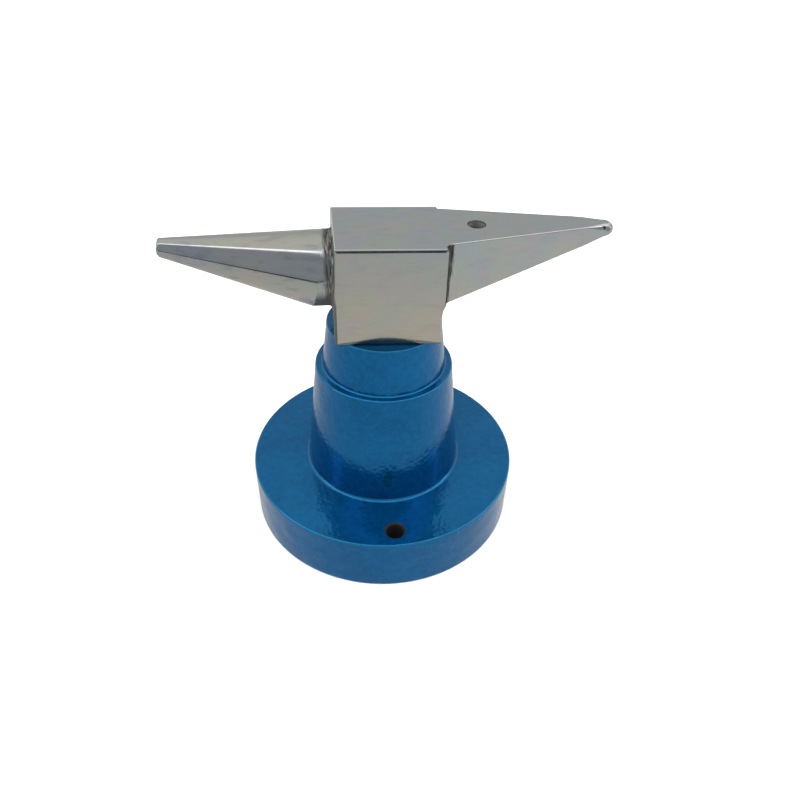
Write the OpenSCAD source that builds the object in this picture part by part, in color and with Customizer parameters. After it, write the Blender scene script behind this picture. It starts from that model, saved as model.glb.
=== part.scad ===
// Double-horn bench anvil on a round two-step cast base.
// Millimetres, +Z up, origin at the centre of the base's underside.
// +X runs to the flat horn's tip, -X to the round horn's tip.
// The head has a round spigot that drops into the column's bore and is drawn down from below by one
// cap screw with a spring washer and a plain washer.

/* [Base casting] */
// Diameter of the round base plate
base_d = 101.6; // [96:0.2:120]
// Thickness of the base plate
plate_h = 21.5; // [18:0.5:24]
// Diameter of the column where it meets the plate
foot_d = 58.6; // [55:0.2:64]
// Diameter of the column at the ledge
ledge_d = 49.8; // [48:0.2:54]
// Height of the ledge above the bench
ledge_z = 65; // [60:0.5:70]
// Diameter of the upper step at the ledge
collar_foot_d = 44.4; // [43:0.2:46]
// Diameter of the upper step at its top
collar_top_d = 40; // [38:0.2:42]
// Height of the upper step's top, where the head sits
column_top_z = 82.3; // [80:0.1:90]
// Diameter of the two bench screw holes
bench_hole_d = 6.35; // [4:0.05:8]
// Distance between the two bench screw holes
bench_hole_spacing = 87.6; // [84:0.2:90]

/* [Head block] */
// Length of the block along the horns
block_l = 35; // [32:0.5:38]
// Width of the block across the horns
block_w = 32.2; // [28:0.2:33]
// Height of the block
block_h = 34.3; // [32:0.1:38]
// Width of the arch under the block
arch_w = 23.6; // [16:0.2:24]
// Height of the arch under the block
arch_h = 2.3; // [1:0.1:4]

/* [Round horn] */
// Distance from the column's axis to the horn's tip
round_reach = 71.5; // [60:0.5:80]
// Diameter of the plain collar at the horn's root
round_root_d = 24.8; // [20:0.2:25.4]
// Length of the plain collar
round_collar_l = 7.2; // [5:0.2:10]
// Diameter at the horn's tip
round_tip_d = 5.6; // [3:0.2:8]
// Drop of the horn's top line below the block's face
round_drop = 1.1; // [0.5:0.1:3]

/* [Flat horn] */
// Distance from the column's axis to the horn's tip
flat_reach = 75.5; // [60:0.5:80]
// Width at the horn's root
flat_root_w = 28; // [20:0.2:29]
// Width where the rounded nose starts
flat_nose_w = 8.6; // [6:0.2:12]
// Thickness at the horn's root
flat_root_h = 22.4; // [16:0.2:22.6]
// Thickness at the horn's tip
flat_tip_h = 3.4; // [3:0.2:6]
// Diameter of the punching hole
punch_hole_d = 5.5; // [4:0.05:8]
// Distance from the column's axis to the punching hole
punch_hole_x = 29.7; // [26:0.1:40]

/* [Clamping] */
// Diameter of the head's spigot
spigot_d = 22; // [18:0.2:24]
// Radial running clearance of the spigot in its bore
spigot_clearance = 0.05; // [0.02:0.01:0.1]
// Outside diameter of the cap screw's thread
screw_d = 8; // [8:1:8]
// Length of the cap screw under its head
screw_l = 40; // [38:1:44]

/* [Hidden] */
$fn = 96;

paint_blue = [0.05, 0.30, 0.52];
polished_steel = [0.66, 0.66, 0.63];
zinc = [0.72, 0.73, 0.74];
black_oxide = [0.16, 0.16, 0.17];

base_r = base_d / 2;
block_top_z = column_top_z + block_h;
edge_r = 0.8;           // rounding of the casting's outer corners
fillet_r = 1.4;         // fillet where the column rises from the plate and from the ledge
arc_steps = 6;          // straight pieces in a quarter of a corner's arc

bore_r = spigot_d / 2 + spigot_clearance;
face_gap = 0.02;        // keeps clamped faces from sharing a surface
seat_z = column_top_z + face_gap;
web_low_z = 30;         // roof of the cored recess under the column
web_high_z = 42;        // floor of the spigot's bore
core_low_r = 19;        // recess radius at the bench
core_high_r = 17;       // recess radius at its roof
screw_hole_r = screw_d / 2 + 0.5;
spigot_end_z = web_high_z + 2;

plain_washer_h = 1.6;
plain_washer_d = 24;
spring_washer_h = 2;
spring_washer_d = 14.8;
screw_head_d = 13;
screw_head_h = 8;
screw_key = 6;          // width across flats of the hexagon socket
screw_pitch = 1.25;
thread_depth = 0.6;
thread_gap = 0.05;      // radial play between the screw's crests and the tapped hole
tapped_depth = 26;

plain_washer_z = web_low_z - plain_washer_h - face_gap;
spring_washer_z = plain_washer_z - spring_washer_h - face_gap;
screw_seat_z = spring_washer_z - face_gap;

round_tip_fall = 0.4;   // how far the round horn's top line falls from its collar to its tip
bulge = 1.1;            // how far the block swells into the flat horn's root
sink = 3;               // how far one shape runs into the next where they join

// Points on a circle's arc, from angle a to angle b
function arc(centre, r, a, b, steps = arc_steps) =
    [for (i = [0:steps]) centre + r * [cos(a + (b - a) * i / steps), sin(a + (b - a) * i / steps)]];

// Outline of half the casting, turned about Z
function casting_outline() = concat(
    [[core_low_r, 0]],
    arc([base_r - edge_r, edge_r], edge_r, -90, 0),
    arc([base_r - edge_r, plate_h - edge_r], edge_r, 0, 90),
    arc([foot_d / 2 + fillet_r, plate_h + fillet_r], fillet_r, -90, -180),
    arc([ledge_d / 2 - edge_r, ledge_z - edge_r], edge_r, 0, 90),
    arc([collar_foot_d / 2 + fillet_r / 2, ledge_z + fillet_r / 2], fillet_r / 2, -90, -180),
    arc([collar_top_d / 2 - edge_r, column_top_z - edge_r], edge_r, 0, 90),
    [[bore_r + edge_r, column_top_z], [bore_r, column_top_z - edge_r]],
    [[bore_r, web_high_z], [screw_hole_r, web_high_z]],
    [[screw_hole_r, web_low_z], [core_high_r, web_low_z]]
);

module base_casting() {
    color(paint_blue) difference() {
        rotate_extrude() polygon(casting_outline());
        for (side = [-1, 1]) {
            translate([0, side * bench_hole_spacing / 2, -1])
                cylinder(h = plate_h + 2, d = bench_hole_d);
        }
    }
}

// Front outline of the block, with its swelling on the flat horn's side
module block_outline() {
    half = block_l / 2;
    polygon([
        [-half, seat_z],
        [half, seat_z],
        [half, block_top_z - flat_root_h + 0.5],
        [half + bulge * 0.8, block_top_z - flat_root_h + 2.5],
        [half + bulge, block_top_z - block_h / 3],
        [half + bulge * 0.15, block_top_z],
        [-half, block_top_z]
    ]);
}

module block() {
    arch_r = (pow(arch_w / 2, 2) + pow(arch_h, 2)) / (2 * arch_h);
    difference() {
        rotate([90, 0, 0])
            linear_extrude(height = block_w, center = true) block_outline();
        translate([0, 0, seat_z + arch_h - arch_r])
            rotate([90, 0, 0]) cylinder(h = block_w + 2, r = arch_r, center = true);
    }
}

module round_horn() {
    top_z = block_top_z - round_drop;
    hull() {
        translate([sink - block_l / 2, 0, top_z - round_root_d / 2])
            rotate([0, -90, 0]) cylinder(h = round_collar_l + sink, d = round_root_d, $fn = 48);
        translate([-round_reach, 0, top_z - round_tip_fall - round_tip_d / 2])
            rotate([0, 90, 0]) cylinder(h = 0.1, d = round_tip_d, $fn = 48);
    }
}

module flat_horn() {
    root_x = block_l / 2 - sink;
    nose_r = flat_nose_w / 2;
    nose_x = flat_reach - nose_r;
    root_low_z = block_top_z - flat_root_h;
    tip_low_z = block_top_z - flat_tip_h;
    flank = atan2(flat_root_w / 2 - nose_r, nose_x - root_x);
    intersection() {
        translate([0, 0, root_low_z - 1])
            linear_extrude(height = flat_root_h + 1)
                polygon(concat(
                    [[root_x, -flat_root_w / 2]],
                    arc([nose_x, 0], nose_r, -90 + flank, 90 - flank, 4 * arc_steps),
                    [[root_x, flat_root_w / 2]]
                ));
        rotate([90, 0, 0])
            linear_extrude(height = flat_root_w + 2, center = true)
                polygon(concat(
                    [[root_x, root_low_z], [flat_reach - 1.5, tip_low_z]],
                    [[flat_reach, tip_low_z + 1.2]],
                    arc([flat_reach - 1.6, block_top_z - 1.6], 1.6, 0, 90),
                    [[root_x, block_top_z]]
                ));
    }
}

module spigot() {
    difference() {
        translate([0, 0, spigot_end_z])
            cylinder(h = column_top_z + arch_h + sink - spigot_end_z, d = spigot_d);
        translate([0, 0, spigot_end_z - 1])
            cylinder(h = tapped_depth + 1, d = screw_d + 2 * thread_gap);
    }
}

module anvil_head() {
    color(polished_steel) union() {
        difference() {
            union() {
                block();
                round_horn();
                flat_horn();
            }
            translate([punch_hole_x, 0, block_top_z - flat_root_h - 1])
                cylinder(h = flat_root_h + 2, d = punch_hole_d);
        }
        spigot();
    }
}

// Crest and root rings that stand for the rolled thread
function thread_outline(low_z, high_z) =
    let (
        crest_r = screw_d / 2,
        turns = floor((high_z - low_z) / screw_pitch)
    )
    concat(
        [[0, low_z]],
        [for (i = [0:turns - 1], half = [0, 1])
            [crest_r - half * thread_depth, low_z + (i + half / 2) * screw_pitch]],
        [[crest_r - thread_depth, low_z + turns * screw_pitch], [0, low_z + turns * screw_pitch]]
    );

module clamp_screw() {
    plain_l = 12;
    color(black_oxide) union() {
        difference() {
            translate([0, 0, screw_seat_z - screw_head_h])
                cylinder(h = screw_head_h, d = screw_head_d);
            translate([0, 0, screw_seat_z - screw_head_h - 1])
                cylinder(h = screw_head_h / 2 + 1, d = screw_key / cos(30), $fn = 6);
        }
        translate([0, 0, screw_seat_z - 1]) cylinder(h = plain_l + 1, d = screw_d);
        rotate_extrude() polygon(thread_outline(screw_seat_z + plain_l - 0.5, screw_seat_z + screw_l));
    }
}

module spring_washer() {
    inner_d = screw_d + 0.3;
    slit = 1.2;
    color(zinc) translate([0, 0, spring_washer_z]) difference() {
        cylinder(h = spring_washer_h, d = spring_washer_d);
        translate([0, 0, -1]) cylinder(h = spring_washer_h + 2, d = inner_d);
        translate([spring_washer_d / 3, 0, spring_washer_h / 2])
            rotate([30, 0, 0]) cube([spring_washer_d / 2, slit, 4 * spring_washer_h], center = true);
    }
}

module plain_washer() {
    color(zinc) translate([0, 0, plain_washer_z]) difference() {
        cylinder(h = plain_washer_h, d = plain_washer_d);
        translate([0, 0, -1]) cylinder(h = plain_washer_h + 2, d = screw_d + 0.6);
    }
}

base_casting();
anvil_head();
clamp_screw();
spring_washer();
plain_washer();
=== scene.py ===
import math

import bmesh
import bpy
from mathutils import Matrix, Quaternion, Vector, noise


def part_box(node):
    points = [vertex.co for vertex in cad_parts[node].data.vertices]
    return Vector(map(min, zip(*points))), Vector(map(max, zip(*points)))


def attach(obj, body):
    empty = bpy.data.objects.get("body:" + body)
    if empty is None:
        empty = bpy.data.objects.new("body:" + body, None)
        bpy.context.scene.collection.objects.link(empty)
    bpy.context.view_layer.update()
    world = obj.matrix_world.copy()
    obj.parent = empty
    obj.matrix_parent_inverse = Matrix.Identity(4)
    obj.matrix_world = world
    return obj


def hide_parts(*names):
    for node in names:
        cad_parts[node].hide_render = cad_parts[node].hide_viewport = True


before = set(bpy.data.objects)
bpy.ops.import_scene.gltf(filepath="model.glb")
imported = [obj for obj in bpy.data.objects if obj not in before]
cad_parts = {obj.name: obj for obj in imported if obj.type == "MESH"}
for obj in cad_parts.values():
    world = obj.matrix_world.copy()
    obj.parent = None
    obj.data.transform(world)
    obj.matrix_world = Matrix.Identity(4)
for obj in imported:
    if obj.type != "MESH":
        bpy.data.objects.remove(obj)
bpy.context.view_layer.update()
mm = 0.001  # shapes are worked in millimetres and scaled once, in addPiece


def nodeBox(node):
    low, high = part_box(node)
    return Vector(low) / mm, Vector(high) / mm


castLow, castHigh = nodeBox("base_casting")
headLow, headHigh = nodeBox("anvil_head")
screwLow, screwHigh = nodeBox("clamp_screw")
springLow, springHigh = nodeBox("spring_washer")
plainLow, plainHigh = nodeBox("plain_washer")


# camera first

cameraView = {
    "aim": (6.65, -0.67, 45.86),  # mm, a point on the line of sight
    "distance": 270.0,            # mm back from that point
    "azimuth": -7.855,
    "elevation": 39.018,
    "roll": 1.704,
    "lens": 31.784,
}


def placeCamera(view):
    turn, lift = math.radians(view["azimuth"]), math.radians(view["elevation"])
    back = Vector((math.sin(turn) * math.cos(lift), -math.cos(turn) * math.cos(lift), math.sin(lift)))
    camera = bpy.data.objects.new("camera", bpy.data.cameras.new("camera"))
    camera.data.lens = view["lens"]
    camera.data.clip_start = 0.01
    camera.location = (Vector(view["aim"]) + back * view["distance"]) * mm
    camera.rotation_mode = "QUATERNION"
    roll = Quaternion((0, 0, 1), math.radians(view["roll"]))
    camera.rotation_quaternion = (-back).to_track_quat("-Z", "Y") @ roll
    bpy.context.scene.collection.objects.link(camera)
    bpy.context.scene.camera = camera


placeCamera(cameraView)
print("camera placed")


# mesh helpers, all in millimetres

def ease(low, high, value):
    # 0 below low, 1 above high, eased between
    t = min(1.0, max(0.0, (value - low) / (high - low)))
    return t * t * (3 - 2 * t)


def arcPoints(x, y, radius, start, end, steps=6):
    # points round (x, y), from angle start to angle end in degrees
    turns = [math.radians(start + (end - start) * i / steps) for i in range(steps + 1)]
    return [(x + radius * math.cos(t), y + radius * math.sin(t)) for t in turns]


def fillSteps(points, step, closed=True):
    # adds points along the long stretches, so that no stretch is longer than step
    out = []
    last = len(points) if closed else len(points) - 1
    for i in range(last):
        (ax, ay), (bx, by) = points[i], points[(i + 1) % len(points)]
        count = max(1, math.ceil(math.hypot(bx - ax, by - ay) / step))
        out += [(ax + (bx - ax) * k / count, ay + (by - ay) * k / count) for k in range(count)]
    if not closed:
        out.append(points[-1])
    return out


def skinRings(rings, closed=False, caps=True):
    # one quad between each pair of neighbours on neighbouring rings
    shape = bmesh.new()
    rows = [[shape.verts.new(point) for point in ring] for ring in rings]
    pairs = list(zip(rows, rows[1:]))
    if closed:
        pairs.append((rows[-1], rows[0]))
    for near, far in pairs:
        for i in range(len(near)):
            j = (i + 1) % len(near)
            shape.faces.new((near[i], near[j], far[j], far[i]))
    if caps and not closed:
        shape.faces.new(rows[0][::-1])
        shape.faces.new(rows[-1])
    bmesh.ops.recalc_face_normals(shape, faces=shape.faces)
    return shape


def turned(outline, sides=96, centre=(0, 0)):
    # an outline of (radius, z) points that closes on itself, turned about Z
    rings = []
    for k in range(sides):
        c, s = math.cos(2 * math.pi * k / sides), math.sin(2 * math.pi * k / sides)
        rings.append([(centre[0] + r * c, centre[1] + r * s, z) for r, z in outline])
    return skinRings(rings, closed=True)


def rod(outline, sides=64, centre=(0, 0)):
    # an outline of (radius, z) points from one flat end to the other, turned about Z
    rings = []
    for r, z in outline:
        turns = [2 * math.pi * k / sides for k in range(sides)]
        rings.append([(centre[0] + r * math.cos(t), centre[1] + r * math.sin(t), z) for t in turns])
    return skinRings(rings)


def addPiece(name, shape):
    mesh = bpy.data.meshes.new(name)
    shape.to_mesh(mesh)
    shape.free()
    mesh.transform([[mm, 0, 0, 0], [0, mm, 0, 0], [0, 0, mm, 0], [0, 0, 0, 1]])
    piece = bpy.data.objects.new(name, mesh)
    bpy.context.scene.collection.objects.link(piece)
    return piece


def combine(piece, tool, operation):
    # UNION or DIFFERENCE with another closed piece, which is used up
    step = piece.modifiers.new("combine", "BOOLEAN")
    step.operation, step.solver, step.object = operation, "EXACT", tool
    seen = piece.evaluated_get(bpy.context.evaluated_depsgraph_get())
    mesh = bpy.data.meshes.new_from_object(seen)
    piece.modifiers.clear()
    old = piece.data
    piece.data = mesh
    mesh.name = piece.name
    bpy.data.meshes.remove(old)
    bpy.data.objects.remove(tool)


def roughen(piece, amount, size, where):
    # moves the skin in and out by up to amount mm, in waves of about size mm
    mesh = piece.data
    normals = [v.normal.copy() for v in mesh.vertices]
    for v, normal in zip(mesh.vertices, normals):
        place = v.co / mm
        share = where(place, normal)
        if share > 0:
            v.co += normal * noise.noise(place / size) * amount * share * mm


def shade(piece, angle=32):
    for face in piece.data.polygons:
        face.use_smooth = True
    piece.data.set_sharp_from_angle(angle=math.radians(angle))
    even = piece.modifiers.new("even shading", "WEIGHTED_NORMAL")
    even.keep_sharp = True
    even.weight = 60


# node helpers

def addNode(tree, kind, sockets=None, **settings):
    # sockets maps an input's name or number to a value or to another node's output
    node = tree.nodes.new("ShaderNode" + kind)
    for key, value in settings.items():
        setattr(node, key, value)
    for key, value in (sockets or {}).items():
        if isinstance(value, bpy.types.NodeSocket):
            tree.links.new(value, node.inputs[key])
        else:
            node.inputs[key].default_value = value
    return node


def startMaterial(name):
    material = bpy.data.materials.new(name)
    material.use_nodes = True
    tree = material.node_tree
    tree.nodes.clear()
    place = addNode(tree, "TexCoord").outputs["Object"]
    return material, tree, place


def finishMaterial(tree, shaderSockets):
    shader = addNode(tree, "BsdfPrincipled", shaderSockets)
    addNode(tree, "OutputMaterial", {"Surface": shader.outputs["BSDF"]})


def grain(tree, place, size, detail=3.0, stretch=(1, 1, 1)):
    # noise from 0 to 1 whose blobs are about size mm, drawn out along an axis by stretch
    scaled = addNode(tree, "Mapping", {"Vector": place, "Scale": [1 / (size * mm * s) for s in stretch]})
    sockets = {"Vector": scaled.outputs["Vector"], "Scale": 1.0, "Detail": detail}
    return addNode(tree, "TexNoise", sockets).outputs["Fac"]


def span(tree, value, low, high, start=0.0, end=1.0):
    # start where value is low, end where it is high, eased between
    sockets = {"Value": value, "From Min": low, "From Max": high, "To Min": start, "To Max": end}
    return addNode(tree, "MapRange", sockets, interpolation_type="SMOOTHSTEP").outputs["Result"]


def maths(tree, operation, first, second=0.0):
    return addNode(tree, "Math", {0: first, 1: second}, operation=operation).outputs["Value"]


def both(tree, first, second):
    # where two masks overlap
    return maths(tree, "MULTIPLY", first, second)


def either(tree, first, second):
    return maths(tree, "MAXIMUM", first, second)


def blendColour(tree, share, first, second, mode="MIX"):
    sockets = {0: share, 6: first, 7: second}
    return addNode(tree, "Mix", sockets, data_type="RGBA", blend_type=mode).outputs[2]


def bump(tree, height, depth, normal=None):
    # depth is how many mm the height's 0 to 1 stands for
    sockets = {"Height": height, "Distance": depth * mm, "Strength": 1.0}
    if normal is not None:
        sockets["Normal"] = normal
    return addNode(tree, "Bump", sockets).outputs["Normal"]


def axes(tree, vector):
    parts = addNode(tree, "SeparateXYZ", {"Vector": vector}).outputs
    return parts["X"], parts["Y"], parts["Z"]


# blue paint on the casting

paintLook = {
    "deep": (0.0004, 0.098, 0.262, 1),
    "light": (0.001, 0.142, 0.365, 1),
    "rim": (0.030, 0.300, 0.560, 1),  # painted highlight: lighter blue along the rims
    "flakeShare": 0.85,  # how far the fine metal flake in it mirrors
    "mottle": 2.2,       # mm across its soft patches
    "drift": 22,         # mm across the slow change over the whole coat
    "flake": 0.5,        # mm across the finest grain
    "orangePeel": 1.3,   # mm between the dimples of the sprayed coat
    "peelDepth": 0.08,   # mm
    "sag": 7.0,          # mm between the slow waves under the coat
    "sagDepth": 0.24,    # mm
}


def lengthOf(tree, x, y):
    vector = addNode(tree, "CombineXYZ", {"X": x, "Y": y}).outputs["Vector"]
    return addNode(tree, "VectorMath", {0: vector}, operation="LENGTH").outputs["Value"]


def nearRing(tree, place, radius, height, reach):
    # 1 within reach mm of a circle round the axis, fading to 0
    x, y, z = axes(tree, place)
    out = maths(tree, "SUBTRACT", lengthOf(tree, x, y), radius * mm)
    up = maths(tree, "SUBTRACT", z, height * mm)
    distance = lengthOf(tree, out, up)
    return span(tree, distance, 0.3 * reach * mm, reach * mm, 1.0, 0.0)


def bluePaint(look, highlightRims):
    material, tree, place = startMaterial("blue_paint")
    mottle = grain(tree, place, look["mottle"], 4)
    drift = grain(tree, place, look["drift"], 2)
    flake = grain(tree, place, look["flake"], 1)
    tone = maths(tree, "ADD", maths(tree, "MULTIPLY", mottle, 0.45), maths(tree, "MULTIPLY", drift, 0.35))
    tone = maths(tree, "ADD", tone, maths(tree, "MULTIPLY", flake, 0.45))
    colour = blendColour(tree, span(tree, tone, 0.44, 0.81), look["deep"], look["light"])
    for radius, height, reach, share in highlightRims:
        # painted highlight: lighter blue near each rim
        rimHighlight = both(tree, nearRing(tree, place, radius, height, reach), share)
        colour = blendColour(tree, rimHighlight, colour, look["rim"])
    waves = bump(tree, grain(tree, place, look["sag"], 0), look["sagDepth"])
    peel = bump(tree, grain(tree, place, look["orangePeel"], 0), look["peelDepth"], waves)
    finishMaterial(tree, {
        "Base Color": colour,
        "Metallic": look["flakeShare"],
        "Roughness": span(tree, mottle, 0.3, 0.7, 0.15, 0.21),
        "Specular IOR Level": 0.1,
        "Coat Weight": 0.35,
        "Coat Roughness": 0.08,
        "Coat IOR": 1.45,
        "Normal": peel,
        "Coat Normal": peel,
    })
    return material


# bare iron inside the recess, the bench holes and the bore, darkened to near black as painted shade, also
# over the holes' chamfers

shadedIronLook = {
    "dark": (0.009, 0.009, 0.009, 1),
    "rusty": (0.020, 0.016, 0.014, 1),
    "sand": 0.7,  # mm
    "stain": 9,   # mm
}


def makeShadedIron(look):
    material, tree, place = startMaterial("raw_iron_shaded")
    sand = grain(tree, place, look["sand"], 5)
    stain = grain(tree, place, look["stain"], 3)
    colour = blendColour(tree, span(tree, stain, 0.35, 0.7), look["dark"], look["rusty"])
    finishMaterial(tree, {
        "Base Color": colour,
        "Metallic": 0.2,
        "Roughness": span(tree, sand, 0.3, 0.7, 0.55, 0.8),
        "Normal": bump(tree, sand, 0.08),
    })
    return material


# plated and polished steel of the head

steelLook = {
    "cool": (0.480, 0.508, 0.528, 1),
    "warm": (0.570, 0.545, 0.482, 1),
    "root": (0.072, 0.058, 0.048, 1),       # unpolished skin where the round horn leaves the block, darkened further as painted shade in the inner corner
    "rootRight": (0.068, 0.070, 0.062, 1),  # and the flat horn
    "smudge": (0.82, 0.83, 0.84, 1),        # faint darker patches in the polish
    "dullShade": (0.060, 0.064, 0.061, 1),       # painted shade on the undersides and the collar's lower part, which are also rougher, out of the wheel's reach
    "matt": (0.200, 0.207, 0.196, 1),       # and painted shade, matt, on the cone beside it
    "edgeHighlight": (0.860, 0.865, 0.855, 1),  # painted highlight on the rounded top edges
    "tints": ((0.955, 1.0, 0.96, 1), (1.0, 0.965, 0.985, 1)),  # the plating's faint play of colour
    "hues": ((0.965, 0.98, 1.02, 1), (1.015, 1.0, 0.96, 1)),
    "cloud": 26,          # mm across the slow change from cool to warm
    "blot": 4.5,          # mm
    "tintSize": 7,        # mm
    "hueSize": 11,        # mm
    "belt": 0.30,         # mm across the fine marks that run along the faces
    "beltRun": 24,        # how many times longer than wide they are
    "leftRoot": 3.0,      # mm of rough skin with painted shade on the round horn
    "rightRoot": 2.8,     # and on the flat horn, at its top
    "rightRootLow": 1.9,  # and at its underside
    "torn": 3.0,          # mm that the rough skin's edge wanders
}


def collarShadeMasks(tree, x, z, faceUp, horn):
    # painted shade: dull on the collar's lower part and the undersides, matt on the cone beside the collar
    offBlock = span(tree, x, -17 * mm, -16.8 * mm, 1.0, 0.0)
    rise = maths(tree, "SUBTRACT", z, horn["rootZ"] * mm)
    lean = maths(tree, "MULTIPLY", rise, horn["creaseLean"] / horn["rootR"])
    fromCrease = maths(tree, "SUBTRACT", maths(tree, "SUBTRACT", x, lean), horn["creaseX"] * mm)
    collar = both(tree, span(tree, fromCrease, -0.1 * mm, 0.3 * mm), offBlock)
    collar = both(tree, collar, span(tree, z, 96 * mm, 104 * mm, 1.0, 0.0))
    dullShade = either(tree, collar, span(tree, faceUp, -0.92, -0.80, 1.0, 0.0))
    cone = both(tree, span(tree, x, -36 * mm, -29 * mm), offBlock)
    matt = both(tree, span(tree, z, 96.5 * mm, 98.5 * mm, 1.0, 0.0), cone)
    return dullShade, matt


def paintedEdgeHighlights(tree, x, y, z, faceUp, block):
    # painted highlight: the rounded top edges clear of the flat horn's root, and a strip beside the ground
    # bevels, made lighter
    rounded = both(tree, span(tree, faceUp, 0.25, 0.45), span(tree, faceUp, 0.93, 0.985, 1.0, 0.0))
    highlitEdge = both(tree, rounded, span(tree, z, (headHigh.z - 0.7) * mm, (headHigh.z - 0.3) * mm))
    clear = (block["half"] + 1.6) * mm
    onBlock = span(tree, x, 17.0 * mm, 17.3 * mm, 1.0, 0.0)
    highlitEdge = both(tree, highlitEdge, either(tree, span(tree, x, clear, clear + 1.2 * mm), onBlock))
    across = maths(tree, "ADD", y, maths(tree, "MULTIPLY", x, block["skew"]))
    across = maths(tree, "ABSOLUTE", across)
    rimY = (block["front"] - block["bevelIn"]) * mm
    onTop = span(tree, faceUp, 0.85, 0.97)
    strip = both(tree, onTop, span(tree, across, rimY - 0.55 * mm, rimY - 0.25 * mm))
    return either(tree, highlitEdge, strip)


def rootSkins(tree, x, z, streak, look, block):
    # rough skin in the two roots, darkened with painted shade of the inner corners, torn along its edge
    torn = maths(tree, "MULTIPLY", maths(tree, "SUBTRACT", streak, 0.5), look["torn"] * mm)
    left, right = -block["half"], block["half"] + 0.1
    leftFace = addNode(tree, "MapRange", {
        "Value": z, "From Min": castHigh.z * mm, "From Max": headHigh.z * mm,
        "To Min": -block["footHalf"] * mm, "To Max": -block["topHalf"] * mm}).outputs["Result"]
    offFace = maths(tree, "SUBTRACT", x, leftFace)
    begin = left - look["leftRoot"]
    leftSkinShade = span(tree, maths(tree, "ADD", x, torn), begin * mm, (begin + 0.8) * mm)
    leftSkinShade = both(tree, leftSkinShade, span(tree, offFace, -0.25 * mm, -0.05 * mm, 1.0, 0.0))
    topZ, lowZ = (headHigh.z - 3) * mm, (headHigh.z - 20) * mm
    lowReach, topReach = (right + look["rightRootLow"]) * mm, (right + look["rightRoot"]) * mm
    reach = span(tree, z, lowZ, topZ, lowReach, topReach)
    halfTorn = maths(tree, "ADD", x, maths(tree, "MULTIPLY", torn, 0.5))
    rightSkinShade = span(tree, maths(tree, "SUBTRACT", halfTorn, reach), -0.5 * mm, 0.3 * mm, 1.0, 0.0)
    rightSkinShade = both(tree, rightSkinShade, span(tree, x, (right + 0.1) * mm, (right + 0.3) * mm))
    belowTop = span(tree, z, (headHigh.z - 0.5) * mm, (headHigh.z - 0.15) * mm, 1.0, 0.0)
    return leftSkinShade, both(tree, rightSkinShade, belowTop)


def platedSteel(look, block, horn):
    material, tree, place = startMaterial("plated_steel")
    x, y, z = axes(tree, place)
    faceUp = axes(tree, addNode(tree, "NewGeometry").outputs["Normal"])[2]
    cloud = grain(tree, place, look["cloud"], 1)
    blot = grain(tree, place, look["blot"], 2)
    marks = grain(tree, place, look["belt"], 2, (look["beltRun"], 1, 1))
    tone = maths(tree, "ADD", maths(tree, "MULTIPLY", cloud, 0.5), maths(tree, "MULTIPLY", blot, 0.15))
    # painted reflection: the steel turns warmer towards the bottom
    tone = maths(tree, "ADD", tone, span(tree, z, 84 * mm, 114 * mm, 0.38, 0.08))
    colour = blendColour(tree, span(tree, tone, 0.30, 0.72), look["cool"], look["warm"])
    shadeOf = span(tree, marks, 0.3, 0.7, 0.98, 1.01)
    grey = addNode(tree, "CombineColor", {0: shadeOf, 1: shadeOf, 2: shadeOf}).outputs["Color"]
    colour = blendColour(tree, 1.0, colour, grey, "MULTIPLY")
    for size, pair in ((look["tintSize"], look["tints"]), (look["hueSize"], look["hues"])):
        play = blendColour(tree, span(tree, grain(tree, place, size, 1.5), 0.38, 0.62), *pair)
        colour = blendColour(tree, 1.0, colour, play, "MULTIPLY")
    rubbed = span(tree, grain(tree, place, 2.2, 4, (3, 1, 1)), 0.48, 0.72)
    rubbed = both(tree, rubbed, span(tree, x, -20 * mm, -17 * mm, 1.0, 0.30))  # mostly on the round horn
    smudged = blendColour(tree, 1.0, colour, look["smudge"], "MULTIPLY")
    colour = blendColour(tree, rubbed, colour, smudged)

    dullShade, matt = collarShadeMasks(tree, x, z, faceUp, horn)
    # painted shade: matt on the cone beside the collar, dark and dull on the undersides and the collar's
    # lower part
    colour = blendColour(tree, matt, colour, look["matt"])
    colour = blendColour(tree, dullShade, colour, look["dullShade"])
    # painted highlight along the top edges and beside the bevels
    colour = blendColour(tree, paintedEdgeHighlights(tree, x, y, z, faceUp, block), colour, look["edgeHighlight"])

    streak = grain(tree, place, 0.40, 3, (1, 9, 9))  # round the roots
    leftSkinShade, rightSkinShade = rootSkins(tree, x, z, streak, look, block)
    leftSkinShadePatches = both(tree, leftSkinShade, span(tree, streak, 0.36, 0.66, 1.0, 0.35))
    rightSkinShadePatches = both(tree, rightSkinShade, span(tree, streak, 0.36, 0.66, 1.0, 0.75))
    # rough skin in the roots, darkened with painted shade of the inner corners
    colour = blendColour(tree, leftSkinShadePatches, colour, look["root"])
    colour = blendColour(tree, rightSkinShadePatches, colour, look["rootRight"])

    # the round horn is ground finer than the block
    fine = span(tree, x, -26 * mm, -18 * mm, 0.085, 0.19)
    shine = maths(tree, "ADD", fine, span(tree, tone, 0.3, 0.7, 0.0, 0.03))
    rough = either(tree, either(tree, leftSkinShadePatches, rightSkinShadePatches), dullShade)
    shine = maths(tree, "ADD", shine, maths(tree, "MULTIPLY", rough, 0.32))
    relief = bump(tree, marks, 0.00045)
    relief = bump(tree, grain(tree, place, 8, 0), 0.012, relief)
    relief = bump(tree, both(tree, streak, either(tree, leftSkinShade, rightSkinShade)), 0.10, relief)
    bare = either(tree, maths(tree, "MULTIPLY", dullShade, 0.7), maths(tree, "MULTIPLY", matt, 0.9))
    finishMaterial(tree, {
        "Base Color": colour,
        "Metallic": maths(tree, "SUBTRACT", 1.0, bare),
        "Roughness": shine,
        "Normal": relief,
    })
    return material


# duller, darker steel as painted shade and painted reflection in the ground bevels, the hole's rim, the
# nose's pit and the arch's roof

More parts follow.
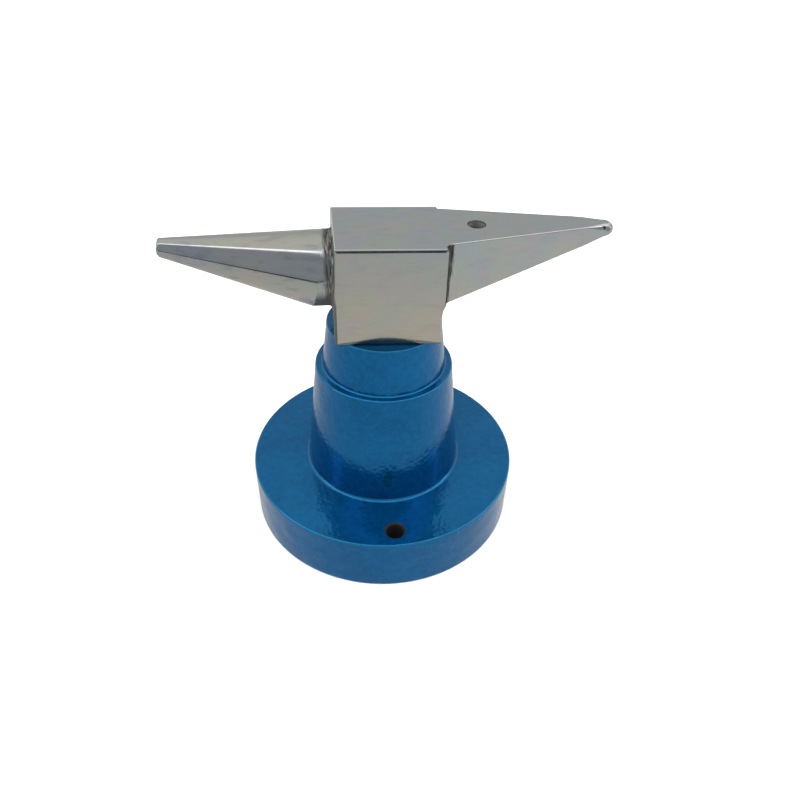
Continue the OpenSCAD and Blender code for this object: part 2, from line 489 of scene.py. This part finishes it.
shadeSteelLook = {"dark": (0.075, 0.078, 0.075, 1), "light": (0.135, 0.138, 0.132, 1), "grind": 0.3}


def makeShadeSteel(look):
    material, tree, place = startMaterial("ground_steel_shade")
    marks = grain(tree, place, look["grind"], 3, (5, 1, 1))
    blot = grain(tree, place, 3, 3)
    tone = maths(tree, "ADD", maths(tree, "MULTIPLY", marks, 0.5), maths(tree, "MULTIPLY", blot, 0.5))
    finishMaterial(tree, {
        "Base Color": blendColour(tree, span(tree, tone, 0.35, 0.65), look["dark"], look["light"]),
        "Metallic": 1.0,
        "Roughness": span(tree, blot, 0.3, 0.7, 0.34, 0.46),
        "Normal": bump(tree, marks, 0.01),
    })
    return material


# the hole's drilled wall

drilledLook = {"dark": (0.21, 0.215, 0.215, 1), "light": (0.36, 0.36, 0.35, 1), "grooves": 0.5}


def drilledSteel(look):
    material, tree, place = startMaterial("drilled_steel")
    rings = grain(tree, place, look["grooves"], 3, (8, 8, 1))
    finishMaterial(tree, {
        "Base Color": blendColour(tree, span(tree, rings, 0.35, 0.65), look["dark"], look["light"]),
        "Metallic": 0.6,
        "Roughness": span(tree, rings, 0.3, 0.7, 0.45, 0.6),
        "Normal": bump(tree, rings, 0.03),
    })
    return material


# black oxide on the clamp screw and zinc on the washers

oxideLook = {"dark": (0.028, 0.028, 0.032, 1), "light": (0.065, 0.062, 0.060, 1), "blot": 1.6, "fine": 0.25}


def blackOxide(look):
    material, tree, place = startMaterial("black_oxide")
    blot = grain(tree, place, look["blot"], 4)
    fine = grain(tree, place, look["fine"], 2)
    colour = blendColour(tree, span(tree, blot, 0.3, 0.7), look["dark"], look["light"])
    finishMaterial(tree, {
        "Base Color": colour,
        "Metallic": 0.8,
        "Roughness": span(tree, blot, 0.3, 0.7, 0.32, 0.48),
        "Normal": bump(tree, fine, 0.01),
    })
    return material


zincLook = {"blue": (0.47, 0.50, 0.55, 1), "yellow": (0.62, 0.61, 0.57, 1), "spangle": 2.4, "brush": 0.2}


def brightZinc(look):
    material, tree, place = startMaterial("bright_zinc")
    spangle = grain(tree, place, look["spangle"], 3)
    brush = grain(tree, place, look["brush"], 2, (6, 1, 1))
    colour = blendColour(tree, span(tree, spangle, 0.35, 0.65), look["blue"], look["yellow"])
    finishMaterial(tree, {
        "Base Color": colour,
        "Metallic": 1.0,
        "Roughness": span(tree, spangle, 0.3, 0.7, 0.26, 0.40),
        "Normal": bump(tree, brush, 0.006),
    })
    return material


shadedIron = makeShadedIron(shadedIronLook)
shadeSteel = makeShadeSteel(shadeSteelLook)
drilled = drilledSteel(drilledLook)
oxide = blackOxide(oxideLook)
zinc = brightZinc(zincLook)
print("materials made")


# base casting: plate, column, upper step, recess and bore

castShape = {
    "plateTop": 21.5,
    "footR": 29.3,
    "ledgeR": 24.9,
    "ledgeZ": 65.0,
    "collarFootR": 22.2,
    "collarTopR": 20.2,
    "rim": 0.75,         # rounding of the outer corners
    "topRim": 0.35,      # and of the upper step's top
    "fillet": 1.3,       # where the column leaves the plate
    "smallFillet": 0.7,  # where the upper step leaves the ledge
    "coreLowR": 19.0,
    "coreHighR": 17.0,
    "webLow": 30.0,
    "webHigh": 42.0,
    "boreR": 11.05,
    "screwHoleR": 4.5,
    "benchHoleR": 3.175,
    "benchHoleY": 43.8,
    "holeChamfer": 0.55,
    "unevenness": 0.05,  # the sand casting's waves under the paint
}


def castOutline(s):
    plateR, top, rim, fillet, small = castHigh.x, castHigh.z, s["rim"], s["fillet"], s["smallFillet"]
    return (
        [(s["coreLowR"], 0.6), (s["coreLowR"] + 0.6, 0)]
        + arcPoints(plateR - rim, rim, rim, -90, 0)
        + arcPoints(plateR - rim, s["plateTop"] - rim, rim, 0, 90)
        + arcPoints(s["footR"] + fillet, s["plateTop"] + fillet, fillet, -90, -180)
        + arcPoints(s["ledgeR"] - rim, s["ledgeZ"] - rim, rim, 0, 90)
        + arcPoints(s["collarFootR"] + small, s["ledgeZ"] + small, small, -90, -180)
        + arcPoints(s["collarTopR"] - s["topRim"], top - s["topRim"], s["topRim"], 0, 90)
        + [(s["boreR"] + 0.8, top), (s["boreR"], top - 0.8), (s["boreR"], s["webHigh"])]
        + [(s["screwHoleR"], s["webHigh"]), (s["screwHoleR"], s["webLow"])]
        + arcPoints(s["coreHighR"] - 2, s["webLow"] - 2, 2, 90, 0)
    )


def makeBase(s):
    piece = addPiece("base", turned(fillSteps(castOutline(s), 1.8), 288))

    def outside(place, normal):
        # full on the painted skin, none on the bearing faces
        away = math.hypot(place.x, place.y) - s["coreLowR"] - 0.8
        return ease(0, 1, away) * ease(0.2, 1.5, place.z) * ease(0.1, 0.9, castHigh.z - place.z)

    roughen(piece, s["unevenness"], 9, outside)
    holeTop = s["plateTop"] + 0.4
    wide = s["benchHoleR"] + s["holeChamfer"]
    for side in (-1, 1):
        drill = [(s["benchHoleR"], -1), (s["benchHoleR"], s["plateTop"] - s["holeChamfer"]),
                 (wide, s["plateTop"]), (wide + 0.4, holeTop)]
        combine(piece, addPiece("drill", rod(drill, 48, (0, side * s["benchHoleY"]))), "DIFFERENCE")
    piece.data.materials.clear()
    piece.data.materials.append(paint)
    piece.data.materials.append(shadedIron)
    # the recess, the bore, the hole walls and their chamfers get near-black iron: bare iron darkened as
    # painted shade
    for face in piece.data.polygons:
        place = face.center / mm
        inCore = math.hypot(place.x, place.y) < s["coreLowR"] + 0.1 and place.z < castHigh.z - 0.9
        fromHole = math.hypot(place.x, abs(place.y) - s["benchHoleY"])
        slanted = abs(face.normal.z) < 0.9
        inHole = fromHole < s["benchHoleR"] + s["holeChamfer"] and slanted
        face.material_index = 1 if inCore or inHole else 0
    shade(piece)
    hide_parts("base_casting")
    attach(piece, "base")


paintedRimHighlights = (  # painted highlights along the rims: radius, height and reach in mm, and how strong each is
    (castHigh.x - 0.1, castShape["plateTop"] - 0.1, 0.7, 0.5),
    (castShape["footR"] + 0.3, castShape["plateTop"] + 0.3, 0.7, 0.5),
    (castShape["ledgeR"] - 0.1, castShape["ledgeZ"] - 0.1, 0.6, 0.45),
    (castShape["collarFootR"] + 0.1, castShape["ledgeZ"] + 0.1, 0.55, 0.5),
    (castShape["collarTopR"] - 0.1, castHigh.z - 0.1, 0.45, 0.5),
)
paint = bluePaint(paintLook, paintedRimHighlights)
makeBase(castShape)
print("base made")


# anvil head: block, round horn, flat horn and spigot in one casting

blockShape = {
    "half": 17.5,
    "front": 16.05,
    "skew": 0.058,      # mm per mm, its long faces stand a little askew to the horns
    "rightSkew": 0.04,  # and its right face too
    "edge": 0.55,       # rounding of its upright edges
    "bevelIn": 0.45,    # ground bevel along the long faces' top edges
    "bevelDown": 0.9,
    "topHalf": 16.9,    # the left face leans out from here at the top
    "footHalf": 17.85,  # to here at the bottom
    "archHalf": 11.5,
    "archHigh": 2.25,
    "archX": -0.45,
    "bulge": 1.05,      # swelling beside the flat horn
    "bulgeLow": 95.6,   # where it steps back to the plain side
    "hollow": 0.5,      # how far the plain side below it is hollow
}

roundShape = {
    "rootR": 12.4,
    "rootZ": 103.15,
    "creaseX": -22.4,   # where the ground cone meets the plain collar, on the axis
    "creaseLean": 2.3,  # how far that line leans towards the block at its top
    "tipR": 2.8,
    "tipZ": 112.3,
    "tipEdge": 0.8,
    "flare": 1.6,       # fillet against the block
    "topFlare": 0.85,
}

flatShape = {
    "rootX": 14.5,
    "topZ": headHigh.z - 0.01,  # a hair under the block's face, so that the two skins cross cleanly
    "halfAt20": 13.0,
    "taper": 0.194,     # narrowing of each side, mm per mm
    "drift": -0.011,    # how far the horn's middle wanders to the front, mm per mm
    "lowAt20": 96.0,
    "rise": 0.318,      # climb of the underside, mm per mm
    "belly": 0.12,      # how much the underside bows down at mid length
    "noseR": 3.1,
    "edge": 0.35,
    "noseEdge": 2.3,
    "noseSink": 0.5,    # how far the nose's underside hangs below that line
    "pit": (71.5, -3.35, 115.7, 0.45),  # a small casting pit on the nose: its centre and radius
    "flare": 0.6,
    "punchX": 29.7,
    "punchR": 2.75,
    "punchChamfer": 0.35,
}

spigotShape = {"r": 11.0, "tappedR": 4.05, "tappedDepth": 26.0, "edge": 0.8}


def blockLeft(s, z):
    top, low = headHigh.z, castHigh.z
    return -s["topHalf"] - (s["footHalf"] - s["topHalf"]) * (top - z) / (top - low)


def blockRight(s, z):
    # the right side, hollow below and swollen beside the flat horn
    top, low, step = headHigh.z, castHigh.z, s["bulgeLow"]
    if z > step:
        swell = math.sin(math.pi * min(1.0, (top - z) / (top - step + 2.5))) ** 0.8
        return s["half"] + 0.15 + (s["bulge"] - 0.1) * swell * ease(step - 0.4, step + 1.4, z)
    down = (step - z) / (step - low)
    return s["half"] + 0.45 * down ** 3 - s["hollow"] * math.sin(math.pi * down)


def blockOutline(s):
    # front view of the block as (x, z), anticlockwise from the lower left
    low, top, edge = castHigh.z + 0.02, headHigh.z, s["edge"]
    right = blockRight(s, low)
    archR = (s["archHalf"] ** 2 + s["archHigh"] ** 2) / (2 * s["archHigh"])
    archTurn = math.degrees(math.asin(s["archHalf"] / archR))
    arch = arcPoints(s["archX"], low + s["archHigh"] - archR, archR, 90 + archTurn, 90 - archTurn, 30)
    zs = [low + edge + 0.3 + (top - low - 2 * edge - 0.3) * i / 34 for i in range(35)]
    side = [(blockRight(s, z), z) for z in zs]
    return (
        arcPoints(blockLeft(s, low) + edge, low + edge, edge, 180, 270)
        + arch
        + arcPoints(right - edge, low + edge, edge, -90, 0)
        + side
        + arcPoints(blockRight(s, top) - edge, top - edge, edge, 10, 90)
        + arcPoints(blockLeft(s, top) + edge, top - edge, edge, 90, 180)
    )


def inset(points, amount, topAmount):
    # moves each point of a closed anticlockwise outline inwards, its top line by another amount
    out = []
    for i, (x, y) in enumerate(points):
        (ax, ay), (bx, by) = points[i - 1], points[(i + 1) % len(points)]
        length = math.hypot(bx - ax, by - ay)
        nx, ny = (by - ay) / length, -(bx - ax) / length
        move = amount + (topAmount - amount) * ease(0.5, 0.95, ny)
        out.append((x - nx * move, y - ny * move))
    return out


def blockSolid(s):
    outline = fillSteps(blockOutline(s), 1.2)
    edge, front = s["edge"], s["front"]
    rim = (s["bevelIn"], s["bevelDown"])
    depths = [0, 0.02, 0.06, 0.13, 0.22, 0.33, s["bevelIn"], edge]

    def cuts(depth):
        # how far the skin stands inside the outline, at this depth behind the long face
        rounded = edge - math.sqrt(max(0.0, edge ** 2 - max(0.0, edge - depth) ** 2))
        return rounded, max(0.0, rim[1] * (1 - depth / rim[0]))

    ys = [-front + d for d in depths]
    ys += [-front + edge + (2 * front - 2 * edge) * i / 14 for i in range(1, 14)]
    ys += [front - d for d in reversed(depths)]
    rings = []
    for y in ys:
        ring = []
        for x, z in inset(outline, *cuts(front - abs(y))):
            turnedX = x + s["rightSkew"] * (y + front) * max(0.0, x / s["half"])
            ring.append((turnedX, y - s["skew"] * x, z))
        rings.append(ring)
    return skinRings(rings)


def roundHornSolid(s, sides=128):
    # rings of points round the horn, each leaning a little, from inside the block to the tip
    upper, lower = (blockLeft(blockShape, s["rootZ"] + k * s["rootR"]) for k in (1, -1))
    faceX, faceLean = (upper + lower) / 2, (upper - lower) / 2
    turns = [2 * math.pi * k / sides for k in range(sides)]

    topShare = s["topFlare"] / s["flare"]

    def ring(x, z, radius, lean=0.0, flare=0.0):
        points = []
        for t in turns:
            up = math.cos(t)
            grow = flare * (topShare + (1 - topShare) * ease(-1, 0.1, -up))
            r = radius + grow
            points.append((x + lean * up, r * math.sin(t), z + r * up))
        return points

    rings = [ring(faceX + 5, s["rootZ"], s["rootR"])]
    rings.append(ring(faceX + 0.3, s["rootZ"], s["rootR"], faceLean, s["flare"]))
    for i in range(9):  # fillet
        t = math.radians(90 * i / 8)
        rings.append(ring(faceX - s["flare"] * (1 - math.cos(t)), s["rootZ"], s["rootR"],
                          faceLean, s["flare"] * (1 - math.sin(t))))
    startX, startLean = faceX - s["flare"], faceLean
    for i in range(1, 9):  # plain collar
        k = i / 9
        x, lean = startX + (s["creaseX"] - startX) * k, startLean + (s["creaseLean"] - startLean) * k
        rings.append(ring(x, s["rootZ"], s["rootR"], lean))
    rings.append(ring(s["creaseX"] + 0.25, s["rootZ"], s["rootR"], s["creaseLean"]))
    tipX = headLow.x + 0.1
    for i in range(61):  # ground cone, closer together near the crease
        k = (i / 60) ** 1.4 * 0.985
        lean = s["creaseLean"] + (0.46 - s["creaseLean"]) * k
        radius = s["rootR"] + (s["tipR"] - s["rootR"]) * k
        x = s["creaseX"] + (tipX - s["creaseX"]) * k
        rings.append(ring(x, s["rootZ"] + (s["tipZ"] - s["rootZ"]) * k, radius, lean))
    edge = s["tipEdge"]
    for i in range(1, 8):  # rounded tip
        t = math.radians(90 * i / 7)
        x, radius = tipX + edge * (1 - math.sin(t)), s["tipR"] - edge * (1 - math.cos(t))
        rings.append(ring(x, s["tipZ"], radius, 0.3))
    for share in (0.6, 0.25):  # slightly domed end
        rings.append(ring(tipX - 0.08 * (1 - share), s["tipZ"], (s["tipR"] - edge) * share, 0.2 * share))
    return skinRings(rings)


def flatHornSolid(s):
    noseX = headHigh.x - s["noseR"]
    slope = math.atan(s["taper"])
    blockEnd = blockShape["half"] + 0.6
    touchX = noseX + s["noseR"] * math.sin(slope)

    def halfWidth(x):
        # the root spreads in a fillet against the block
        past = max(0.0, s["flare"] - max(0.0, x - blockEnd))
        spread = s["flare"] - math.sqrt(max(0.0, s["flare"] ** 2 - past ** 2))
        return s["halfAt20"] - s["taper"] * (x - 20.3) + spread

    def underside(x):
        k = min(1.0, max(0.0, (x - 20) / (headHigh.x - 20)))
        return s["lowAt20"] + s["rise"] * (x - 20.3) - s["belly"] * 4 * k * (1 - k) - s["noseSink"] * k ** 6

    def middle(x):
        return s["drift"] * (x - 20.3)

    # plan of the front side from root to nose, each point with the direction that is outwards
    count = 60
    xs = [s["rootX"] + (touchX - s["rootX"]) * (i / count) for i in range(count)]
    xs = sorted(xs + [blockEnd + 0.12 * i for i in range(12)])
    plan = [(x, -halfWidth(x), math.sin(slope), -math.cos(slope)) for x in xs]
    for i in range(21):
        t = -math.pi / 2 + slope + (math.pi / 2 - slope) * i / 20
        plan.append((noseX + s["noseR"] * math.cos(t), s["noseR"] * math.sin(t), math.cos(t), math.sin(t)))
    plan += [(x, -y, nx, -ny) for x, y, nx, ny in plan[-2::-1]]

    def ring(share, upper):
        points = []
        for x, y, nx, ny in plan:
            radius = s["edge"] + (s["noseEdge"] - s["edge"]) * ease(noseX - 9, headHigh.x, x)
            t = math.radians(90 * share)
            cut = radius * (1 - math.cos(t))
            px, py = x - nx * cut, y - ny * cut
            px = max(px, s["rootX"])
            if upper:
                points.append((px, py + middle(px), s["topZ"] - radius * (1 - math.sin(t))))
            else:
                points.append((px, py + middle(px), underside(px) + 0.45 * radius * (1 - math.sin(t))))
        return points

    rings = [ring(i / 6, True) for i in range(6, -1, -1)]
    rings += [ring(i / 6, False) for i in range(7)]
    shape = bmesh.new()
    rows = [[shape.verts.new(point) for point in line] for line in rings]
    for near, far in zip(rows, rows[1:]):
        for i in range(len(plan) - 1):
            shape.faces.new((near[i], near[i + 1], far[i + 1], far[i]))
    for row in (rows[0], rows[-1]):  # top and underside, in strips from side to side
        last = len(row) - 1
        for i in range(last // 2 - 1):
            shape.faces.new((row[i], row[i + 1], row[last - i - 1], row[last - i]))
        middle = last // 2
        shape.faces.new((row[middle - 1], row[middle], row[middle + 1]))
    shape.faces.new([row[0] for row in rows] + [row[-1] for row in reversed(rows)])
    bmesh.ops.recalc_face_normals(shape, faces=shape.faces)
    return shape


def makeHead(block, horn, flat, spigot):
    piece = addPiece("head", blockSolid(block))
    combine(piece, addPiece("round_horn", roundHornSolid(horn)), "UNION")
    half, top, low, edge = block["half"], headHigh.z, headLow.z, spigot["edge"]
    peg = [(spigot["r"] - edge, low), (spigot["r"], low + edge), (spigot["r"], castHigh.z + 5)]
    combine(piece, addPiece("peg", rod(peg, 96)), "UNION")
    tapped = spigot["tappedR"]
    hole = [(tapped + 1.6, low - 1), (tapped, low + 0.6), (tapped, low + spigot["tappedDepth"])]
    combine(piece, addPiece("tap", rod(hole, 48)), "DIFFERENCE")
    flatHorn = addPiece("flat_horn", flatHornSolid(flat))
    punch, cut = flat["punchR"], flat["punchChamfer"]
    drill = [(punch, top - 30), (punch, top - cut), (punch + cut, top), (punch + cut + 0.3, top + 0.3)]
    combine(flatHorn, addPiece("punch", rod(drill, 64, (flat["punchX"], 0))), "DIFFERENCE")
    pitX, pitY, pitZ, pitR = flat["pit"]
    ball = [(r + 0.01, z) for r, z in arcPoints(0, pitZ, pitR, -90, 90, 8)]
    combine(flatHorn, addPiece("ball", rod(ball, 24, (pitX, pitY))), "DIFFERENCE")
    combine(piece, flatHorn, "UNION")

    def inRoots(place, normal):
        # the skin that no wheel reaches, where the horns leave the block
        if place.x < -half:
            return ease(-half - 2.6, -half - 1.4, place.x) * ease(-half - 0.1, -half - 0.4, place.x)
        beside = half + 1.1 < place.x < half + 2.6 and abs(normal.y) > 0.5
        return 0.8 if beside and place.z < top - 0.7 else 0.0

    roughen(piece, 0.16, 0.8, inRoots)
    piece.data.materials.clear()
    for material in (steel, shadeSteel, drilled):
        piece.data.materials.append(material)
    for face in piece.data.polygons:
        place, normal = face.center / mm, face.normal
        fromHole = math.hypot(place.x - flat["punchX"], place.y)
        onRim = fromHole < punch + cut + 0.05 and place.z > top - cut - 0.05 and normal.z < 0.95
        inPit = (place - Vector((pitX, pitY, pitZ))).length < pitR + 0.02
        bevelled = top - block["bevelDown"] < place.z < top - 0.02 and abs(place.x) < half + 1.5
        darkBevel = bevelled and 0.3 < abs(normal.y) < 0.98 and normal.z > 0.3 and place.z < top - 0.2
        archRoof = normal.z < -0.5 and place.z < castHigh.z + block["archHigh"] + 0.2
        # these faces take the dark steel: painted shade and painted reflection
        if onRim or inPit or darkBevel or archRoof:
            face.material_index = 1
        elif fromHole < punch + 0.01 and abs(normal.z) < 0.5:
            face.material_index = 2
        else:
            face.material_index = 0
    shade(piece)
    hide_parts("anvil_head")
    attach(piece, "head")


steel = platedSteel(steelLook, blockShape, roundShape)
makeHead(blockShape, roundShape, flatShape, spigotShape)
print("head made")


# clamp screw with a knurled socket head and a cut thread

screwShape = {
    "headR": 6.5,
    "headH": 8.0,
    "shankR": 4.0,
    "plainL": 11.5,
    "pitch": 1.25,
    "threadDepth": 0.65,
    "keyAcross": 6.0,
    "socketDeep": 4.0,
    "knurls": 40,
}


def screwSolid(s, sides=160):
    seat, tip = screwLow.z + s["headH"], screwHigh.z
    turns = [2 * math.pi * k / sides for k in range(sides)]

    def ring(z, radiusAt):
        return [(radiusAt(t) * math.cos(t), radiusAt(t) * math.sin(t), z) for t in turns]

    def plain(radius):
        return lambda t: radius

    def knurled(radius):
        return lambda t: radius - 0.22 * abs(math.sin(s["knurls"] * t / 2))

    def hexagon(t):
        return s["keyAcross"] / 2 / math.cos((t + math.pi / 6) % (math.pi / 3) - math.pi / 6)

    def thread(z):
        def radiusAt(t):
            phase = (z / s["pitch"] - t / (2 * math.pi)) % 1
            depth = s["threadDepth"] * min(1.0, max(0.0, abs(phase - 0.5) * 2.6 - 0.15))
            run = ease(seat + s["plainL"], seat + s["plainL"] + 1.5, z)
            end = max(0.0, z - (tip - 1.0))
            return min(s["shankR"] - depth * run, s["shankR"] - end * 0.9)
        return radiusAt

    low = screwLow.z
    rings = [ring(low + s["socketDeep"], lambda t: 0.35 * hexagon(t))]
    rings += [ring(low + s["socketDeep"], hexagon), ring(low + 0.5, hexagon)]
    rings.append(ring(low, plain(s["keyAcross"] / 2 / math.cos(math.pi / 6) + 0.35)))
    rings += [ring(low, plain(s["headR"] - 1.0)), ring(low + 0.25, plain(s["headR"] - 0.45))]
    rings += [ring(low + 0.8, plain(s["headR"] - 0.22)), ring(low + 1.2, knurled(s["headR"]))]
    rings += [ring(seat - 1.2, knurled(s["headR"])), ring(seat - 0.8, plain(s["headR"] - 0.22))]
    rings += [ring(seat - 0.15, plain(s["headR"] - 0.25)), ring(seat, plain(s["headR"] - 0.5))]
    rings += [ring(seat, plain(s["shankR"] + 0.12)), ring(seat + 0.4, plain(s["shankR"]))]
    steps = math.ceil((tip - seat - s["plainL"]) / s["pitch"] * 10)
    for i in range(steps + 1):
        z = seat + s["plainL"] + (tip - seat - s["plainL"]) * i / steps
        rings.append(ring(z, thread(z)))
    return skinRings(rings)


def makeScrew(s):
    piece = addPiece("screw", screwSolid(s))
    piece.data.materials.append(oxide)
    shade(piece, 38)
    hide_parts("clamp_screw")
    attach(piece, "screw")


makeScrew(screwShape)


# washers

washerShape = {"edge": 0.25, "springHoleR": 4.15, "plainHoleR": 4.3, "splitTurn": 5.5, "splitLean": 4.0}


def boxOutline(inner, outer, low, high, edge):
    return (
        arcPoints(inner + edge, low + edge, edge, 180, 270, 3)
        + arcPoints(outer - edge, low + edge, edge, 270, 360, 3)
        + arcPoints(outer - edge, high - edge, edge, 0, 90, 3)
        + arcPoints(inner + edge, high - edge, edge, 90, 180, 3)
    )


def makeWashers(s):
    flatOne = boxOutline(s["plainHoleR"], plainHigh.x, plainLow.z, plainHigh.z, s["edge"])
    piece = addPiece("flat_washer", turned(flatOne, 128))
    outline = boxOutline(s["springHoleR"], springHigh.y, springLow.z, springHigh.z, s["edge"])
    middle = (springLow.z + springHigh.z) / 2
    rings = []
    for i in range(97):  # a split ring whose cut leans
        share = i / 96
        turn = s["splitTurn"] + (360 - 2 * s["splitTurn"]) * share
        ring = []
        for r, z in outline:
            lean = math.radians(turn + s["splitLean"] * (z - middle))
            ring.append((r * math.cos(lean), r * math.sin(lean), z))
        rings.append(ring)
    split = addPiece("split_washer", skinRings(rings))
    for washer, node in ((piece, "plain_washer"), (split, "spring_washer")):
        washer.data.materials.append(zinc)
        shade(washer, 35)
        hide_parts(node)
        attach(washer, "base")


makeWashers(washerShape)
print("screw and washers made")


# floor, world and lights

studio = {
    "floorTone": (0.90, 0.90, 0.90, 1),
    "nearTones": ((0.54, 0.54, 0.525, 1), (0.70, 0.70, 0.68, 1)),  # how the floor mirrors, left and right
    "farTone": (0.34, 0.35, 0.385, 1),   # and beyond that painted edge
    "edgeTone": (0.01, 0.01, 0.015, 1),  # the edge itself
    "reflectedEdgeY": (-0.490, -0.350),       # metres, where the painted dark edge runs in front of the anvil
    "back": (0.53, 0.54, 0.535, 1),       # low behind the anvil, mirrored in its top
    "overheadSky": (0.76, 0.74, 0.68, 1),
    "front": (0.35, 0.365, 0.41, 1),     # the dim side behind the camera
    "strip": (2.10, 2.15, 2.22, 1),      # the long lamp overhead, as it mirrors
    "stripLean": 16.0,                   # degrees from straight up towards the front
    "stripWidth": 6.0,                   # degrees
    "ambient": 0.95,                     # what lights the floor and the paint all round
    "overhead": 8.0,                     # watts
    "fill": 9.0,
}


def makeFloor(look):
    shape = bmesh.new()
    bmesh.ops.create_grid(shape, x_segments=8, y_segments=8, size=6000)
    floor = addPiece("floor", shape)
    material, tree, place = startMaterial("pale_floor")
    speck = grain(tree, place, 3, 2)
    paper = blendColour(tree, span(tree, speck, 0.3, 0.7), look["floorTone"], (0.88, 0.88, 0.88, 1))
    matt = {"Base Color": paper, "Roughness": 0.85, "Specular IOR Level": 0.1}
    shader = addNode(tree, "BsdfPrincipled", matt)

    # painted reflection: seen by glossy rays the floor glows greyer, with a dark line for the front edge of a
    # sheet that is not there
    x, y, z = axes(tree, place)
    far, near = look["reflectedEdgeY"]
    mirrored = blendColour(tree, span(tree, x, -0.2, 0.25), *look["nearTones"])
    mirrored = blendColour(tree, span(tree, y, far, near), look["farTone"], mirrored)
    line = both(tree, span(tree, y, far, far + 0.01), span(tree, y, near - 0.01, near, 1.0, 0.0))
    mirrored = blendColour(tree, line, mirrored, look["edgeTone"])
    # painted reflection: the floor glows these tones, seen only by glossy rays
    glow = addNode(tree, "Emission", {"Color": mirrored, "Strength": 1.0})
    glossy = addNode(tree, "LightPath").outputs["Is Glossy Ray"]
    surface = addNode(tree, "MixShader", {0: glossy, 1: shader.outputs["BSDF"], 2: glow.outputs["Emission"]})
    addNode(tree, "OutputMaterial", {"Surface": surface.outputs["Shader"]})
    floor.data.materials.append(material)
    floor.location.z = (castLow.z - 0.05) * mm


def makeWorld(look):
    world = bpy.data.worlds.new("studio")
    bpy.context.scene.world = world
    world.use_nodes = True
    tree = world.node_tree
    tree.nodes.clear()
    x, y, z = axes(tree, addNode(tree, "TexCoord").outputs["Generated"])
    sky = blendColour(tree, span(tree, z, 0.35, 0.95), look["back"], look["overheadSky"])
    mirrored = blendColour(tree, span(tree, y, -0.45, -0.22, 1.0, 0.0), sky, look["front"])
    lean = math.radians(look["stripLean"])
    forward, upward = maths(tree, "MULTIPLY", y, math.cos(lean)), maths(tree, "MULTIPLY", z, math.sin(lean))
    aside = maths(tree, "ADD", forward, upward)
    half = math.sin(math.radians(look["stripWidth"] / 2))
    strip = span(tree, maths(tree, "ABSOLUTE", aside), half * 0.7, half * 1.3, 1.0, 0.0)
    strip = both(tree, strip, span(tree, z, 0.02, 0.1))
    mirrored = blendColour(tree, strip, mirrored, look["strip"])
    glossy = addNode(tree, "LightPath").outputs["Is Glossy Ray"]
    level = look["ambient"]
    colour = blendColour(tree, glossy, (level, level, level, 1), mirrored)
    background = addNode(tree, "Background", {"Color": colour, "Strength": 1.0})
    addNode(tree, "OutputWorld", {"Surface": background.outputs["Background"]})


def addSoftbox(name, place, size, power, aim=(0, 0, 0.06)):
    light = bpy.data.lights.new(name, "AREA")
    light.shape = "RECTANGLE"
    light.size, light.size_y = size
    light.energy = power
    lamp = bpy.data.objects.new(name, light)
    lamp.visible_glossy = False  # the sky's own tones are what the metal mirrors
    lamp.location = place
    lamp.rotation_mode = "QUATERNION"
    lamp.rotation_quaternion = (Vector(aim) - Vector(place)).to_track_quat("-Z", "Y")
    bpy.context.scene.collection.objects.link(lamp)


makeFloor(studio)
makeWorld(studio)
addSoftbox("overhead", (0, -0.27, 1.05), (1.6, 0.15), studio["overhead"])
addSoftbox("left_fill", (-1.1, -0.2, 0.9), (0.8, 0.8), studio["fill"])
addSoftbox("right_fill", (1.1, -0.1, 0.9), (0.8, 0.8), studio["fill"])
bpy.context.scene.view_settings.view_transform = "Standard"
print("studio made")
